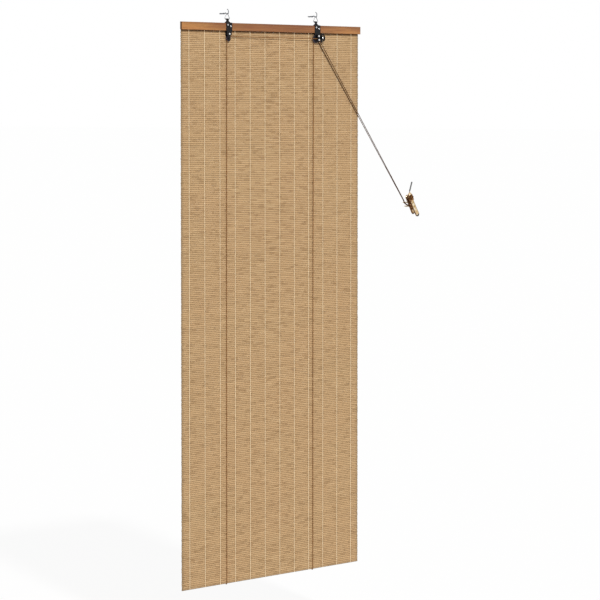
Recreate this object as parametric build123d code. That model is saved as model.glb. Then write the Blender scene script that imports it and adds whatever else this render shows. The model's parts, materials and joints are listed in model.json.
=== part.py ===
from build123d import *
import os
from math import asin, atan2, cos, degrees, hypot, pi, radians, sin, tan

# Bamboo roller blind with its wall hooks, cord lock and cord cleat.
# Millimetres. X runs along the head rail, +Z is up and the room is at -Y.
# The origin is on the wall, halfway between the two hook screws.

# Overall sizes
blind_width = 800.0
blind_height = 1600.0  # from the top of the head rail to the mat's lower edge
hook_spacing = 400.0
hang_depth = 12.3  # from the wall to the line that the blind swings about
hang_drop = 26.5  # from the hook screws down to the top of the rail

# Head rail and the batten behind the mat
rail_height = 22.0
rail_thickness = 6.0
rail_overhang = 4.0
rail_rounding = 1.2
batten_height = 20.0
batten_thickness = 4.0
batten_inset = 6.0

# Staples over the fixed ends of the lift cords
staple_wire = 0.9
staple_reach = 3.0  # into the batten
staple_drop = 12.0  # below the batten's top
staple_fit = 0.05
cord_end_rise = 4.0  # of a lift cord's end above its staple

# Reed mat and its warp threads
mat_thickness = 1.8
mat_forward = 0.9  # from the swing line to the mat's front, which puts the weight under the hooks
mat_top_inset = 1.5
reed_pitch = 5.38
reed_groove = 1.1
reed_groove_depth = 0.5
slit_height = 0.35
slit_every = 3
thread_count = 12
thread_width = 1.5
thread_thickness = 0.35

# Cords
cord_radius = 1.0
cord_spacing = 0.1  # between two cords that lie side by side
cord_gap = 0.3  # left between a cord and a face that it runs over
bottom_bend = 2.2
left_exit_length = 9.0
right_exit_length = 21.0

# Wire hook that screws into the wall
hook_wire = 1.1
hook_screw_radius = 1.6
hook_screw_length = 15.0
hook_point_length = 2.5
hook_collar_radius = 2.4
hook_collar_thickness = 1.0
hook_mouth = 9.0  # between the wire centres of the bowl's two sides
hook_bowl_drop = 1.7
hook_rise = 9.6
hook_shoulder = 3.4
hook_slope = 4.6  # how far the sloped shoulder and the tip run towards the wall
hook_lean = 0.7  # of the bowl's back side
hook_shift = 0.2  # from the swing line to the bowl's middle
hook_tip_rise = 2.6
hook_bends = (2.0, 1.3, 2.9, 4.2, 3.6)  # from the wall to the tip
screw_point = 0.25  # radius that is left at a screw's tip

# Hanger ring
ring_wire = 0.85
ring_width = 20.0
ring_corner = 2.0
ring_top_bend = 3.0
ring_seat_gap = 0.3

# Sheet-metal bracket that grips the rail
sheet = 1.0
plate_width = 26.0
bend_radius = 1.6
eye_fit = 0.1
eye_rise = 10.65  # from the rail's top to the centre of the rolled eye
eye_seam = 0.4
seam_drop = 0.6  # below the eye's centre
eye_width = 12.0
neck_width = 10.5
shoulder_height = 4.0
bracket_rounding = 1.5
lower_lap = 1.0  # of the upper outline over the lower one
upper_screw = (-6.5, 5.5)  # from the bracket's centre line, and down from the rail's top
lower_screw = (6.5, 9.5)
screw_radius = 1.4
screw_depth = 5.0
screw_head_radius = 2.5
screw_head_height = 1.5

# Wheels, rivets and their fits
side_gap = 0.35
rivet_radius = 1.4
rivet_fit = 0.05
rivet_head_radius = 2.9
rivet_head_height = 1.3
rim_share = 0.6  # of a button head's height that its rounded rim takes
wheel_fit = 0.08
flange_thickness = 0.8
flange_slope = 0.15

# Left pulley, measured from the bracket's centre line and the rail's lower edge
pulley_centre = (-1.0, -22.0)
pulley_cord_radius = 6.0
pulley_rim = 8.6
cheek_sheet = 0.8
cheek_gap = 0.3
cheek_width = 21.0
cheek_straight = 14.0
cheek_corner = 3.0
cheek_top_gap = 0.4  # under the rail
cheek_joint = 4.0  # height of the square part that joins the left plate to its bracket
tongue_width = 12.0
tongue_start = -8.0
spacer_rivet = (1.0, -9.0)
spacer_radius = 2.4

# Right cord lock, measured in the same way
lock_wheel_centre = (-8.5, -17.5)
lock_wheel_cord_radius = 6.5
lock_wheel_rim = 9.0
tooth_tip = 14.2
tooth_root = 10.2
tooth_count = 12
tooth_crest = 0.82  # share of a tooth's step over which it rises
tooth_lap = 1.0  # of the toothed rim over the wheel's flange
wheel_bend_share = 0.995  # leaves a short straight run between two quarter turns
axle_head_radius = 4.2
axle_head_thickness = 0.8
roller_centre = (0.5, -19.9)
roller_cord_radius = 3.4
roller_rim = 4.9
roller_flange = 0.5
guide_centre = (-0.5, -9.0)
guide_radius = 2.6
front_layer = 3.8  # clear depth between the bracket plate and the front cheek
front_cheek_radius = 5.4
front_cheek_sheet = 0.9
cam_centre = (19.0, -14.0)
cam_thickness = 3.2
cam_hub = 4.8
cam_guard_outer = 12.0
cam_guard_inner = 8.8
cam_guard_from = 128.0
cam_guard_to = -52.0
cam_lobe_angle = 248.0
cam_lobe_radius = 3.2
lock_ear_radius = 6.2
lock_plate_left = 13.0
lock_plate_right = 9.5
lock_plate_drop = 27.0
lock_plate_corner = 5.0
lock_plate_square = 10.0  # height of the square part under the rail
cam_arm_root = -10.0  # height at which the cam's arm starts on the centre line
cam_web_turn = 14.0  # degrees from the guard's upper end
cam_web_width = 4.4

# Wall cleat, its long axis turned from upright towards the lower right
cleat_centre = (675.0, -561.0)
cleat_tilt = 33.0
cleat_length = 85.0
cleat_width = 15.5
cleat_base_length = 68.0
cleat_base = 3.0
cleat_bevel = 0.6
cleat_neck_length = 25.0
cleat_neck_width = 8.0
cleat_neck_height = 7.2
cleat_neck_corner = 3.0
horn_thickness = 4.0
horn_rise = 2.2
horn_rounding = 1.2
cleat_screw_spacing = 14.0
cleat_screw_radius = 1.75  # of the thread, in the wall
cleat_shank_radius = 1.55  # of the plain part, in the cleat
cleat_screw_head = 3.4
cleat_screw_sink = 2.2
cleat_screw_drop = 0.3  # of the heads below the horns' face
cleat_screw_length = 22.0  # beyond the wall
cleat_screw_tip = 3.0

# Cord on the cleat; places are along and across the cleat from its centre
kink_places = ((-35.6, -31.5), (-24.3, -31.6))  # where the pull cords turn in to the cleat
kink_depths = (hang_depth, hang_depth - 1.4)
kink_bends = (10.0, 4.0)
pull_entry = -1.0
pull_overrun = 1.2
neck_turns_width = 4.6
neck_turns_gap = 0.3
neck_turns_clearance = 0.6  # from the base and from the horns
arm_turns_length = 15.0
arm_turns_thickness = 2.2
arm_turns_gap = 0.4  # beside the horn
arm_turns_room = 1.4  # more than the horn's thickness, because the horn is arched
arm_turns_start = 1.0  # from the turns on the neck
tail_across = 6.5
tail_run = 4.9
tail_bend = 4.5
tail_rise = (13.5, 33.5)
tail_sleeve_radius = 2.1
tail_sleeve_length = 31.0
tail_sleeve_rounding = 0.9

through = 60.0  # depth of a cut that goes right through

# Places that follow from the sizes above
rail_top = -hang_drop
rail_bottom = rail_top - rail_height
mat_front = -hang_depth - mat_forward
mat_back = mat_front + mat_thickness
rail_back = mat_front - thread_thickness
rail_front = rail_back - rail_thickness
batten_front = mat_back + thread_thickness
batten_back = batten_front + batten_thickness
mat_top = rail_top - mat_top_inset
mat_bottom = rail_top - blind_height
plate_front = rail_front - sheet
hook_bottom_z = -hook_bowl_drop
ring_top_z = hook_bottom_z + hook_wire + ring_wire + ring_seat_gap
eye_outer = ring_wire + eye_fit + sheet
wheel_width = rail_thickness - cheek_gap - cheek_sheet - 2 * side_gap
wheel_back = rail_back - cheek_gap - cheek_sheet - side_gap
rear_layer = wheel_back - wheel_width / 2
front_layer_y = plate_front - front_layer / 2
ring_bottom_z = rail_top + eye_rise
centre_x = {"left": -hook_spacing / 2, "right": hook_spacing / 2}

low_align = (Align.CENTER, Align.CENTER, Align.MIN)
os.makedirs("parts", exist_ok=True)
nodes = {}


def facing(x, y, z):
    """Work plane whose own Z points into the room, at a place in the part."""
    return Plane(origin=(x, y, z), x_dir=(1, 0, 0), z_dir=(0, -1, 0))


def sheet_part(outline, back_y, thickness):
    """Flat sheet from an outline drawn in X and Z as seen from the room."""
    return extrude(facing(0, back_y, 0) * outline, amount=thickness)


def on_unit(side, place):
    """X and Z of a place given from a bracket's centre line and the rail's lower edge."""
    return centre_x[side] + place[0], rail_bottom + place[1]


def disc(x, z, back_y, radius, depth):
    """Cylinder whose axis points into the room."""
    return facing(x, back_y, z) * Cylinder(radius, depth, align=low_align)


def button(x, z, back_y, radius, height):
    """Low head with a rounded rim."""
    head = disc(x, z, back_y, radius, height)
    front_rim = head.edges().filter_by(GeomType.CIRCLE).sort_by(Axis.Y)[0]
    return fillet(front_rim, height * rim_share)


def wire(path, radius):
    """Round wire or cord along a path that starts on its own tangent."""
    section = Plane(origin=path @ 0, z_dir=path % 0) * Circle(radius)
    return sweep(section, path=path)


def keep(name, shape):
    """Write one node."""
    nodes[name] = shape
    export_step(shape, "parts/" + name + ".step")


# Head rail: a flat wooden batten with softened front edges
rail = Box(
    blind_width + 2 * rail_overhang,
    rail_thickness,
    rail_height,
    align=(Align.CENTER, Align.MAX, Align.MAX),
)
rail = Pos(0, rail_back, rail_top) * rail
front_edges = rail.faces().sort_by(Axis.Y)[0].edges().filter_by(Axis.X)
rail = fillet(front_edges, rail_rounding)

for side in centre_x:
    for across, down in (upper_screw, lower_screw):
        hole_x = centre_x[side] + across
        hole_z = rail_top - down
        hole_depth = screw_depth + sheet
        rail -= disc(hole_x, hole_z, rail_front + screw_depth, screw_radius + rivet_fit, hole_depth)
keep("head_rail", rail)

# Batten behind the mat, which holds the mat to the rail and takes the cords' fixed ends
batten = Box(
    blind_width - 2 * batten_inset,
    batten_thickness,
    batten_height,
    align=(Align.CENTER, Align.MAX, Align.MAX),
)
batten = Pos(0, batten_back, mat_top) * batten

# Cord staples on the back of the batten, one over each lift cord
cord_back = batten_back + cord_radius + staple_fit


def staple(x):
    """Square wire staple that straddles a cord."""
    half = cord_radius + staple_wire / 2 + staple_fit
    crown_y = cord_back + cord_radius + staple_fit
    crown_width = 2 * half + staple_wire
    crown = Box(crown_width, staple_wire, staple_wire, align=(Align.CENTER, Align.MIN, Align.CENTER))
    leg_length = crown_y - batten_back + staple_reach
    leg = Box(staple_wire, leg_length, staple_wire, align=(Align.CENTER, Align.MAX, Align.CENTER))
    arch = Pos(0, crown_y, 0) * crown
    for leg_x in (-half, half):
        arch += Pos(leg_x, crown_y, 0) * leg
    return Pos(x, 0, mat_top - staple_drop) * arch


# Reed mat: one wall with a ridge for each reed, and slits along some of the grooves
reed_count = round((mat_top - mat_bottom) / reed_pitch)
reed_step = (mat_top - mat_bottom) / reed_count


def ridged_edge(face_y, inward):
    """Points of one face from top to bottom, dipping inward at each groove."""
    points = []
    for k in range(1, reed_count):
        z = mat_top - k * reed_step
        points.append((face_y, z + reed_groove / 2))
        points.append((face_y + inward * reed_groove_depth, z))
        points.append((face_y, z - reed_groove / 2))
    return points


front_points = [(mat_front, mat_top)] + ridged_edge(mat_front, 1) + [(mat_front, mat_bottom)]
back_points = [(mat_back, mat_top)] + ridged_edge(mat_back, -1) + [(mat_back, mat_bottom)]
mat_profile = make_face(Polyline(front_points + back_points[::-1], close=True))
mat = extrude(Plane.YZ.offset(-blind_width / 2) * mat_profile, amount=blind_width)
thread_pitch = blind_width / thread_count
slit_length = blind_width - thread_pitch
mat_middle = (mat_front + mat_back) / 2
slit = Box(slit_length, 2 * mat_thickness, slit_height)
slit_places = [mat_top - k * reed_step for k in range(slit_every, reed_count, slit_every)]
slits = [Pos(0, mat_middle, z) * slit for z in slit_places]
mat = mat - slits
keep("reed_mat", mat)

# Warp threads, which lie on the reeds at the front and the back
threads = []
for k in range(thread_count):
    x = -blind_width / 2 + (k + 0.5) * thread_pitch
    strand = Box(
        thread_width,
        thread_thickness,
        mat_top - mat_bottom,
        align=(Align.CENTER, Align.MAX, Align.MAX),
    )
    threads.append(Pos(x, mat_front, mat_top) * strand)
    threads.append(Pos(x, batten_front, mat_top) * strand)
keep("warp_threads", Compound(children=threads))


# Screw hooks: a pointed shank in the wall, a collar and a bowl open at the top
def screw_hook(x):
    """Wall hook bent from round wire."""
    bowl_back = -hang_depth - hook_shift + hook_mouth / 2
    bowl_front = bowl_back - hook_mouth
    route = [
        (0.0, 0.0),
        (bowl_back + hook_slope, 0.0),
        (bowl_back + hook_lean, hook_shoulder),
        (bowl_back, hook_bottom_z),
        (bowl_front, hook_bottom_z),
        (bowl_front, hook_rise),
        (bowl_front + hook_slope, hook_rise + hook_tip_rise),
    ]
    bent = wire(Plane.YZ * FilletPolyline(*route, radius=list(hook_bends)), hook_wire)
    shank = Cylinder(hook_screw_radius, hook_screw_length, align=low_align)
    point = Cone(hook_screw_radius, screw_point, hook_point_length, align=low_align)
    screw = shank + Pos(0, 0, hook_screw_length) * point
    into_wall = Plane(origin=(0, 0, 0), x_dir=(1, 0, 0), z_dir=(0, 1, 0))
    collar = disc(0, 0, 0, hook_collar_radius, hook_collar_thickness)
    return Pos(x, 0, 0) * (bent + into_wall * screw + collar)


# Hanger rings: a wire triangle from the hook down to the bracket's eye
def hanger_ring(x):
    """Closed wire triangle with rounded corners, standing in X and Z."""
    half = ring_width / 2
    height = ring_top_z - ring_bottom_z
    lean = atan2(half, height)
    apex = ring_top_z + ring_top_bend * (1 / sin(lean) - 1)
    spread = half * (apex - ring_bottom_z) / height
    outline = make_face(Polyline((-spread, ring_bottom_z), (spread, ring_bottom_z), (0, apex), close=True))
    lower = outline.vertices().sort_by(Axis.Y)[:2]
    outline = fillet(lower, ring_corner)
    upper = outline.vertices().sort_by(Axis.Y)[-1]
    outline = fillet(upper, ring_top_bend)
    path = (facing(x, -hang_depth, 0) * outline).face().outer_wire()
    return wire(path, ring_wire)


for side, x in centre_x.items():
    keep("screw_hook_" + side, screw_hook(x))
    keep("hanger_ring_" + side, hanger_ring(x))


# Brackets: sheet that lies on the rail's front, folds back over its top and rises to a rolled eye
def bracket_blank():
    """Bent sheet as wide as the plate: down the rail's front, over its top and up to the eye."""
    neck_front = -hang_depth - eye_outer
    neck_back = neck_front + sheet
    fold_top = rail_top + sheet
    low = rail_bottom - 2 * lock_plate_drop
    side_view = make_face(
        Polyline(
            (plate_front, low),
            (plate_front, fold_top),
            (neck_front, fold_top),
            (neck_front, ring_bottom_z),
            (neck_back, ring_bottom_z),
            (neck_back, rail_top),
            (rail_front, rail_top),
            (rail_front, low),
            close=True,
        )
    )
    bends = {
        (plate_front, fold_top): bend_radius,
        (neck_front, fold_top): bend_radius - sheet,
        (neck_back, rail_top): bend_radius,
        (rail_front, rail_top): bend_radius - sheet,
    }
    for (y, z), radius in bends.items():
        corner = side_view.vertices().sort_by_distance(Vector(y, z))[0]
        side_view = fillet(corner, radius)
    return extrude(Plane.YZ * side_view, amount=plate_width, both=True)


def bracket_outline(lower):
    """Front view of a bracket: neck, sloped shoulders, plate and the lower part given."""
    half = plate_width / 2
    neck = neck_width / 2
    fold = rail_top + sheet
    shoulder = fold + shoulder_height
    upper = make_face(
        Polyline(
            (-neck, ring_bottom_z + eye_outer),
            (-neck, shoulder),
            (-half, fold),
            (-half, rail_bottom - lower_lap),
            (half, rail_bottom - lower_lap),
            (half, fold),
            (neck, shoulder),
            (neck, ring_bottom_z + eye_outer),
            close=True,
        )
    )
    for x, z in ((-neck, shoulder), (-half, fold), (half, fold), (neck, shoulder)):
        corner = upper.vertices().sort_by_distance(Vector(x, z))[0]
        upper = fillet(corner, bracket_rounding)
    return upper + lower


def rolled_eye():
    """Tube that the neck's end is rolled into, around the ring's lower wire."""
    tube = Circle(eye_outer) - Circle(ring_wire + eye_fit)
    seam = Pos(eye_outer, -seam_drop) * Rectangle(eye_outer * 2, eye_seam)
    curl = Plane.YZ * Pos(-hang_depth, ring_bottom_z) * (tube - seam)
    return extrude(curl, amount=eye_width / 2, both=True)


def bracket(side, lower, holes):
    """One bracket with its holes; places in lower and holes are from the centre line."""
    blank = bracket_blank()
    front_view = extrude(facing(0, 0, 0) * bracket_outline(lower), amount=through, both=True)
    bore_circle = Plane.YZ * Pos(-hang_depth, ring_bottom_z) * Circle(ring_wire + eye_fit)
    bore = extrude(bore_circle, amount=plate_width, both=True)
    shape = (blank & front_view) + rolled_eye() - bore
    for across, down in (upper_screw, lower_screw):
        shape -= disc(across, rail_top - down, 0, screw_radius + rivet_fit, through)
    for place, radius in holes:
        shape -= disc(place[0], rail_bottom + place[1], 0, radius, through)
    return Pos(centre_x[side], 0, 0) * shape


def bracket_screws(side):
    """Two pan-head screws through the plate into the rail."""
    screws = []
    for across, down in (upper_screw, lower_screw):
        x = centre_x[side] + across
        z = rail_top - down
        shank = disc(x, z, rail_front + screw_depth, screw_radius, screw_depth + sheet)
        screws.append(shank + button(x, z, plate_front, screw_head_radius, screw_head_height))
    return Compound(children=screws)


def rivet(side, place, back_y, front_y, shank_radius=rivet_radius):
    """Rivet with a round head on the room side."""
    x, z = on_unit(side, place)
    shank = disc(x, z, back_y, shank_radius, back_y - front_y)
    return shank + button(x, z, front_y, rivet_head_radius, rivet_head_height)


def grooved_wheel(side, place, back_y, width, rim, root, bore, flange=flange_thickness):
    """Wheel with a cord groove between two flanges."""
    profile = make_face(
        Polyline(
            (bore, 0),
            (rim, 0),
            (rim, flange),
            (root, flange + flange_slope),
            (root, width - flange - flange_slope),
            (rim, width - flange),
            (rim, width),
            (bore, width),
            close=True,
        )
    )
    x, z = on_unit(side, place)
    return facing(x, back_y, z) * revolve(Plane.XZ * profile, Axis.Z)


wheel_bore = rivet_radius + wheel_fit
rivet_hole = rivet_radius + rivet_fit

# Left bracket and its pulley
cheek_outline = Pos(0, rail_bottom - cheek_straight / 2) * RectangleRounded(
    cheek_width, cheek_straight, cheek_corner
)
cheek_outline += Pos(pulley_centre[0], rail_bottom + (pulley_centre[1] + tongue_start) / 2) * Rectangle(
    tongue_width, tongue_start - pulley_centre[1]
)
cheek_outline += Pos(pulley_centre[0], rail_bottom + pulley_centre[1]) * Circle(tongue_width / 2)
plate_joint = Pos(0, rail_bottom - cheek_joint / 2) * Rectangle(cheek_width, cheek_joint)
left_holes = [(pulley_centre, rivet_hole), (spacer_rivet, rivet_hole)]
keep("bracket_left", bracket("left", cheek_outline + plate_joint, left_holes))
keep("bracket_screws_left", bracket_screws("left"))

cheek_back = rail_back - cheek_gap
cheek_cut = Pos(0, rail_bottom - cheek_top_gap + rail_height / 2) * Rectangle(plate_width * 2, rail_height)
cheek = sheet_part(Pos(centre_x["left"], 0) * (cheek_outline - cheek_cut), cheek_back, cheek_sheet)
for place, radius in left_holes:
    x, z = on_unit("left", place)
    cheek -= disc(x, z, 0, radius, through)
keep("pulley_cheek", cheek)

pulley_root = pulley_cord_radius - cord_radius - cord_gap
keep(
    "pulley_wheel",
    grooved_wheel("left", pulley_centre, wheel_back, wheel_width, pulley_rim, pulley_root, wheel_bore),
)
keep("pulley_axle", rivet("left", pulley_centre, cheek_back, plate_front))
x, z = on_unit("left", spacer_rivet)
sleeve_length = cheek_back - cheek_sheet - rail_front
sleeve = disc(x, z, cheek_back - cheek_sheet, spacer_radius, sleeve_length)
sleeve -= disc(x, z, 0, rivet_hole, through)
keep("pulley_spacer", sleeve)
keep("pulley_rivet", rivet("left", spacer_rivet, cheek_back, plate_front))

# Right bracket: its plate is the middle plate of the cord lock
lock_width = lock_plate_left + lock_plate_right
lock_middle = (lock_plate_right - lock_plate_left) / 2
lock_outline = Pos(lock_middle, rail_bottom - lock_plate_drop / 2) * RectangleRounded(
    lock_width, lock_plate_drop, lock_plate_corner
)
lock_outline += Pos(lock_middle, rail_bottom - lock_plate_square / 2) * Rectangle(
    lock_width, lock_plate_square
)
arm_drop = cam_centre[1] - cam_arm_root
arm_length = hypot(cam_centre[0], arm_drop)
arm_angle = degrees(atan2(arm_drop, cam_centre[0]))
lock_outline += (
    Pos(cam_centre[0] / 2, rail_bottom + (cam_centre[1] + cam_arm_root) / 2)
    * Rot(0, 0, arm_angle)
    * SlotCenterToCenter(arm_length, 2 * lock_ear_radius)
)
lock_holes = [(place, rivet_hole) for place in (lock_wheel_centre, roller_centre, guide_centre, cam_centre)]
keep("bracket_right", bracket("right", lock_outline, lock_holes))
keep("bracket_screws_right", bracket_screws("right"))

# Toothed cord wheel behind the plate, on a stud whose head keeps it there
stud_head_back = rail_back - 0.3
lock_wheel_back = stud_head_back - axle_head_thickness - side_gap
lock_wheel_width = lock_wheel_back - rail_front - side_gap
lock_wheel_root = lock_wheel_cord_radius - cord_radius - cord_gap
lock_wheel = grooved_wheel(
    "right", lock_wheel_centre, lock_wheel_back, lock_wheel_width, lock_wheel_rim, lock_wheel_root, wheel_bore
)


def saw_outline(tip, root, count):
    """Saw-tooth rim: each tooth rises slowly and falls at once."""
    points = []
    for k in range(count):
        start = 2 * pi * k / count
        crest = start + 2 * pi / count * tooth_crest
        points.append((root * cos(start), root * sin(start)))
        points.append((tip * cos(crest), tip * sin(crest)))
    return make_face(Polyline(points, close=True))


x, z = on_unit("right", lock_wheel_centre)
tooth_ring = saw_outline(tooth_tip, tooth_root, tooth_count) - Circle(lock_wheel_rim - tooth_lap)
lock_wheel += extrude(
    facing(x, lock_wheel_back - lock_wheel_width + flange_thickness, z) * tooth_ring, amount=flange_thickness
)
keep("lock_wheel", lock_wheel)
stud_back = stud_head_back - axle_head_thickness
stud = disc(x, z, stud_head_back, axle_head_radius, axle_head_thickness)
stud += disc(x, z, stud_back, rivet_radius, stud_back - plate_front)
keep("lock_wheel_stud", stud)

# Roller and guide sleeve in front of the plate, under the front cheek
roller_back = plate_front - side_gap / 2
roller_width = front_layer - side_gap
roller_root = roller_cord_radius - cord_radius - cord_gap
keep(
    "lock_roller",
    grooved_wheel(
        "right", roller_centre, roller_back, roller_width, roller_rim, roller_root, wheel_bore, roller_flange
    ),
)
front_cheek_back = plate_front - front_layer
front_cheek_front = front_cheek_back - front_cheek_sheet
x, z = on_unit("right", guide_centre)
guide = disc(x, z, plate_front, guide_radius, front_layer) - disc(x, z, 0, rivet_hole, through)
keep("lock_guide", guide)
cheek_span = hypot(guide_centre[0] - roller_centre[0], guide_centre[1] - roller_centre[1])
cheek_lean = degrees(atan2(guide_centre[1] - roller_centre[1], guide_centre[0] - roller_centre[0]))
cheek_middle_x = (x + centre_x["right"] + roller_centre[0]) / 2
cheek_middle_z = rail_bottom + (guide_centre[1] + roller_centre[1]) / 2
front_cheek = (
    Pos(cheek_middle_x, cheek_middle_z)
    * Rot(0, 0, cheek_lean)
    * SlotCenterToCenter(cheek_span, 2 * front_cheek_radius)
)
front_cheek = sheet_part(front_cheek, front_cheek_back, front_cheek_sheet)
for place in (roller_centre, guide_centre):
    x, z = on_unit("right", place)
    front_cheek -= disc(x, z, 0, rivet_hole, through)
keep("lock_front_cheek", front_cheek)
keep("lock_roller_axle", rivet("right", roller_centre, rail_front, front_cheek_front))
keep("lock_guide_rivet", rivet("right", guide_centre, rail_front, front_cheek_front))

# Where the cords leave the lock and reach the cleat
cleat_along = (sin(radians(cleat_tilt)), -cos(radians(cleat_tilt)))
cleat_across = (cos(radians(cleat_tilt)), sin(radians(cleat_tilt)))


def on_cleat(along, across):
    """X and Z of a place given from the cleat's centre along and across its bar."""
    x = cleat_centre[0] + along * cleat_along[0] + across * cleat_across[0]
    z = cleat_centre[1] + along * cleat_along[1] + across * cleat_across[1]
    return x, z


def leaving_turn(centre, radius, target):
    """Angle below level of the line that leaves a wheel on its right and reaches a point."""
    reach_x = target[0] - centre[0]
    reach_z = target[1] - centre[1]
    return atan2(-reach_z, reach_x) + asin(radius / hypot(reach_x, reach_z))


def leaving_corner(centre, radius, turn, y):
    """Corner where the level run over a wheel meets the line that leaves it."""
    return centre[0] + radius * tan(turn / 2), y, centre[1] + radius


def along_line(start, end, length):
    """Point at a length from one point towards another."""
    way = Vector(*end) - Vector(*start)
    return tuple(Vector(*start) + way.normalized() * length)


def normal(start, end):
    """Direction in X and Z that is square to a run, on its upper right side."""
    run = Vector(end[0] - start[0], end[1] - start[1]).normalized()
    return Vector(-run.Y, run.X)


def beside(corner, before, after):
    """Corner of the cord one pitch lower, from the normals of the runs before and after it."""
    share = cord_pitch / (1 + before.dot(after))
    return corner[0] - share * (before.X + after.X), corner[1] - share * (before.Y + after.Y)


roller_place = on_unit("right", roller_centre)
wheel_place = on_unit("right", lock_wheel_centre)
kinks_left = [on_cleat(*place) for place in kink_places]
pull_turn = leaving_turn(roller_place, roller_cord_radius, kinks_left[0])
pull_normal = Vector(sin(pull_turn), cos(pull_turn))
cord_pitch = 2 * cord_radius + cord_spacing
neck_side = -neck_turns_width - cleat_neck_width / 2 - neck_turns_gap
entry_left = on_cleat(pull_entry, neck_side)
turn_in_normal = normal(*kinks_left)
entry_normal = normal(kinks_left[1], entry_left)
# The second cord keeps one pitch from the first on all of its runs
kinks_right = [
    beside(kinks_left[0], pull_normal, turn_in_normal),
    beside(kinks_left[1], turn_in_normal, entry_normal),
]
entry_step = -cord_pitch / entry_normal.dot(Vector(*cleat_along))
entry_right = on_cleat(pull_entry + entry_step, neck_side)

# Locking cam: a lobe under the cord's way, and a heavy curved guard that turns it into the cord
roller_line = pull_normal.dot(Vector(*roller_centre)) + roller_cord_radius
cam_line = pull_normal.dot(Vector(*cam_centre)) - roller_line
lobe_lean = radians(cam_lobe_angle) - atan2(-pull_normal.Y, -pull_normal.X) - 2 * pi
lobe_offset = (cam_line - cord_radius - cord_gap - cam_lobe_radius) / cos(lobe_lean)
lobe_x = lobe_offset * cos(radians(cam_lobe_angle))
lobe_z = lobe_offset * sin(radians(cam_lobe_angle))
cam_outline = Circle(cam_hub) + Pos(lobe_x, lobe_z) * Circle(cam_lobe_radius)
cam_outline += (
    Pos(lobe_x / 2, lobe_z / 2) * Rot(0, 0, cam_lobe_angle) * Rectangle(lobe_offset, 2 * cam_lobe_radius)
)
guard_middle = (cam_guard_inner + cam_guard_outer) / 2
guard_arc = CenterArc((0, 0), guard_middle, cam_guard_to, cam_guard_from - cam_guard_to)
cam_outline += SlotArc(guard_arc, cam_guard_outer - cam_guard_inner)
web_angle = cam_guard_from - cam_web_turn
cam_outline += Rot(0, 0, web_angle) * Pos(guard_middle / 2, 0) * Rectangle(guard_middle, cam_web_width)
x, z = on_unit("right", cam_centre)
cam_back = plate_front - side_gap / 2
cam = sheet_part(Pos(x, z) * cam_outline, cam_back, cam_thickness)
cam -= disc(x, z, 0, wheel_bore, through)
keep("lock_cam", cam)
cam_rivet_front = cam_back - cam_thickness - side_gap / 2
keep("lock_cam_rivet", rivet("right", cam_centre, rail_front, cam_rivet_front))

# Lift cords: from the staple down behind the mat, round its lower edge and up the front
back_run = mat_back + thread_thickness + cord_gap + cord_radius
front_run = rail_back - cord_gap - cord_radius
under_run = mat_bottom - cord_gap - cord_radius
cord_paths = {}


def keep_cord(name, path, trim=None):
    """Write one cord, trimmed where it meets another piece."""
    cord_paths[name] = path
    cord = wire(path, cord_radius)
    if trim:
        cord -= trim
    keep(name, cord)


def lift_path(fall_x, upper_route, upper_bends):
    """Path with its fall at one X, and the rest of its route over the wheels."""
    route = [
        (fall_x, cord_back, mat_top - staple_drop + cord_end_rise),
        (fall_x, back_run, under_run),
        (fall_x, front_run, under_run),
    ] + upper_route
    return FilletPolyline(*route, radius=[bottom_bend, bottom_bend] + upper_bends)


left_fall = centre_x["left"] + pulley_centre[0] - pulley_cord_radius
left_top = rail_bottom + pulley_centre[1] + pulley_cord_radius
roller_corner = leaving_corner(roller_place, roller_cord_radius, pull_turn, front_layer_y)
bend_left = (kinks_left[0][0], -kink_depths[0], kinks_left[0][1])
left_exit = along_line(roller_corner, bend_left, left_exit_length)
left_route = [(left_fall, rear_layer, left_top), roller_corner, left_exit]
keep_cord("lift_cord_left", lift_path(left_fall, left_route, [pulley_cord_radius, roller_cord_radius]))

lock_layer = lock_wheel_back - lock_wheel_width / 2
right_fall = wheel_place[0] - lock_wheel_cord_radius
right_top = wheel_place[1] + lock_wheel_cord_radius
wheel_turn = leaving_turn(wheel_place, lock_wheel_cord_radius, kinks_right[0])
wheel_corner = leaving_corner(wheel_place, lock_wheel_cord_radius, wheel_turn, lock_layer)
bend_right = (kinks_right[0][0], -kink_depths[0], kinks_right[0][1])
right_exit = along_line(wheel_corner, bend_right, right_exit_length)
right_route = [(right_fall, lock_layer, right_top), wheel_corner, right_exit]
wheel_bend = lock_wheel_cord_radius * wheel_bend_share
keep_cord("lift_cord_right", lift_path(right_fall, right_route, [wheel_bend, wheel_bend]))

keep("cord_staples", Compound(children=[staple(left_fall), staple(right_fall)]))
for fall in (left_fall, right_fall):
    batten -= staple(fall)
keep("rear_batten", batten)

# Cleat: a base bar on the wall, a neck, and two horns that curve away from the wall
cleat_frame = Plane(
    origin=(cleat_centre[0], 0, cleat_centre[1]),
    x_dir=(cleat_along[0], 0, cleat_along[1]),
    z_dir=(0, -1, 0),
)
horn_low = cleat_base + cleat_neck_height
horn_top = horn_low + horn_thickness
half_length = cleat_length / 2
half_neck = cleat_neck_length / 2


def horn_arch(low):
    """Curved upper or lower face of the horns, which lifts towards the tips."""
    return ThreePointArc((-half_length, low + horn_rise), (0, low), (half_length, low + horn_rise))


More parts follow.
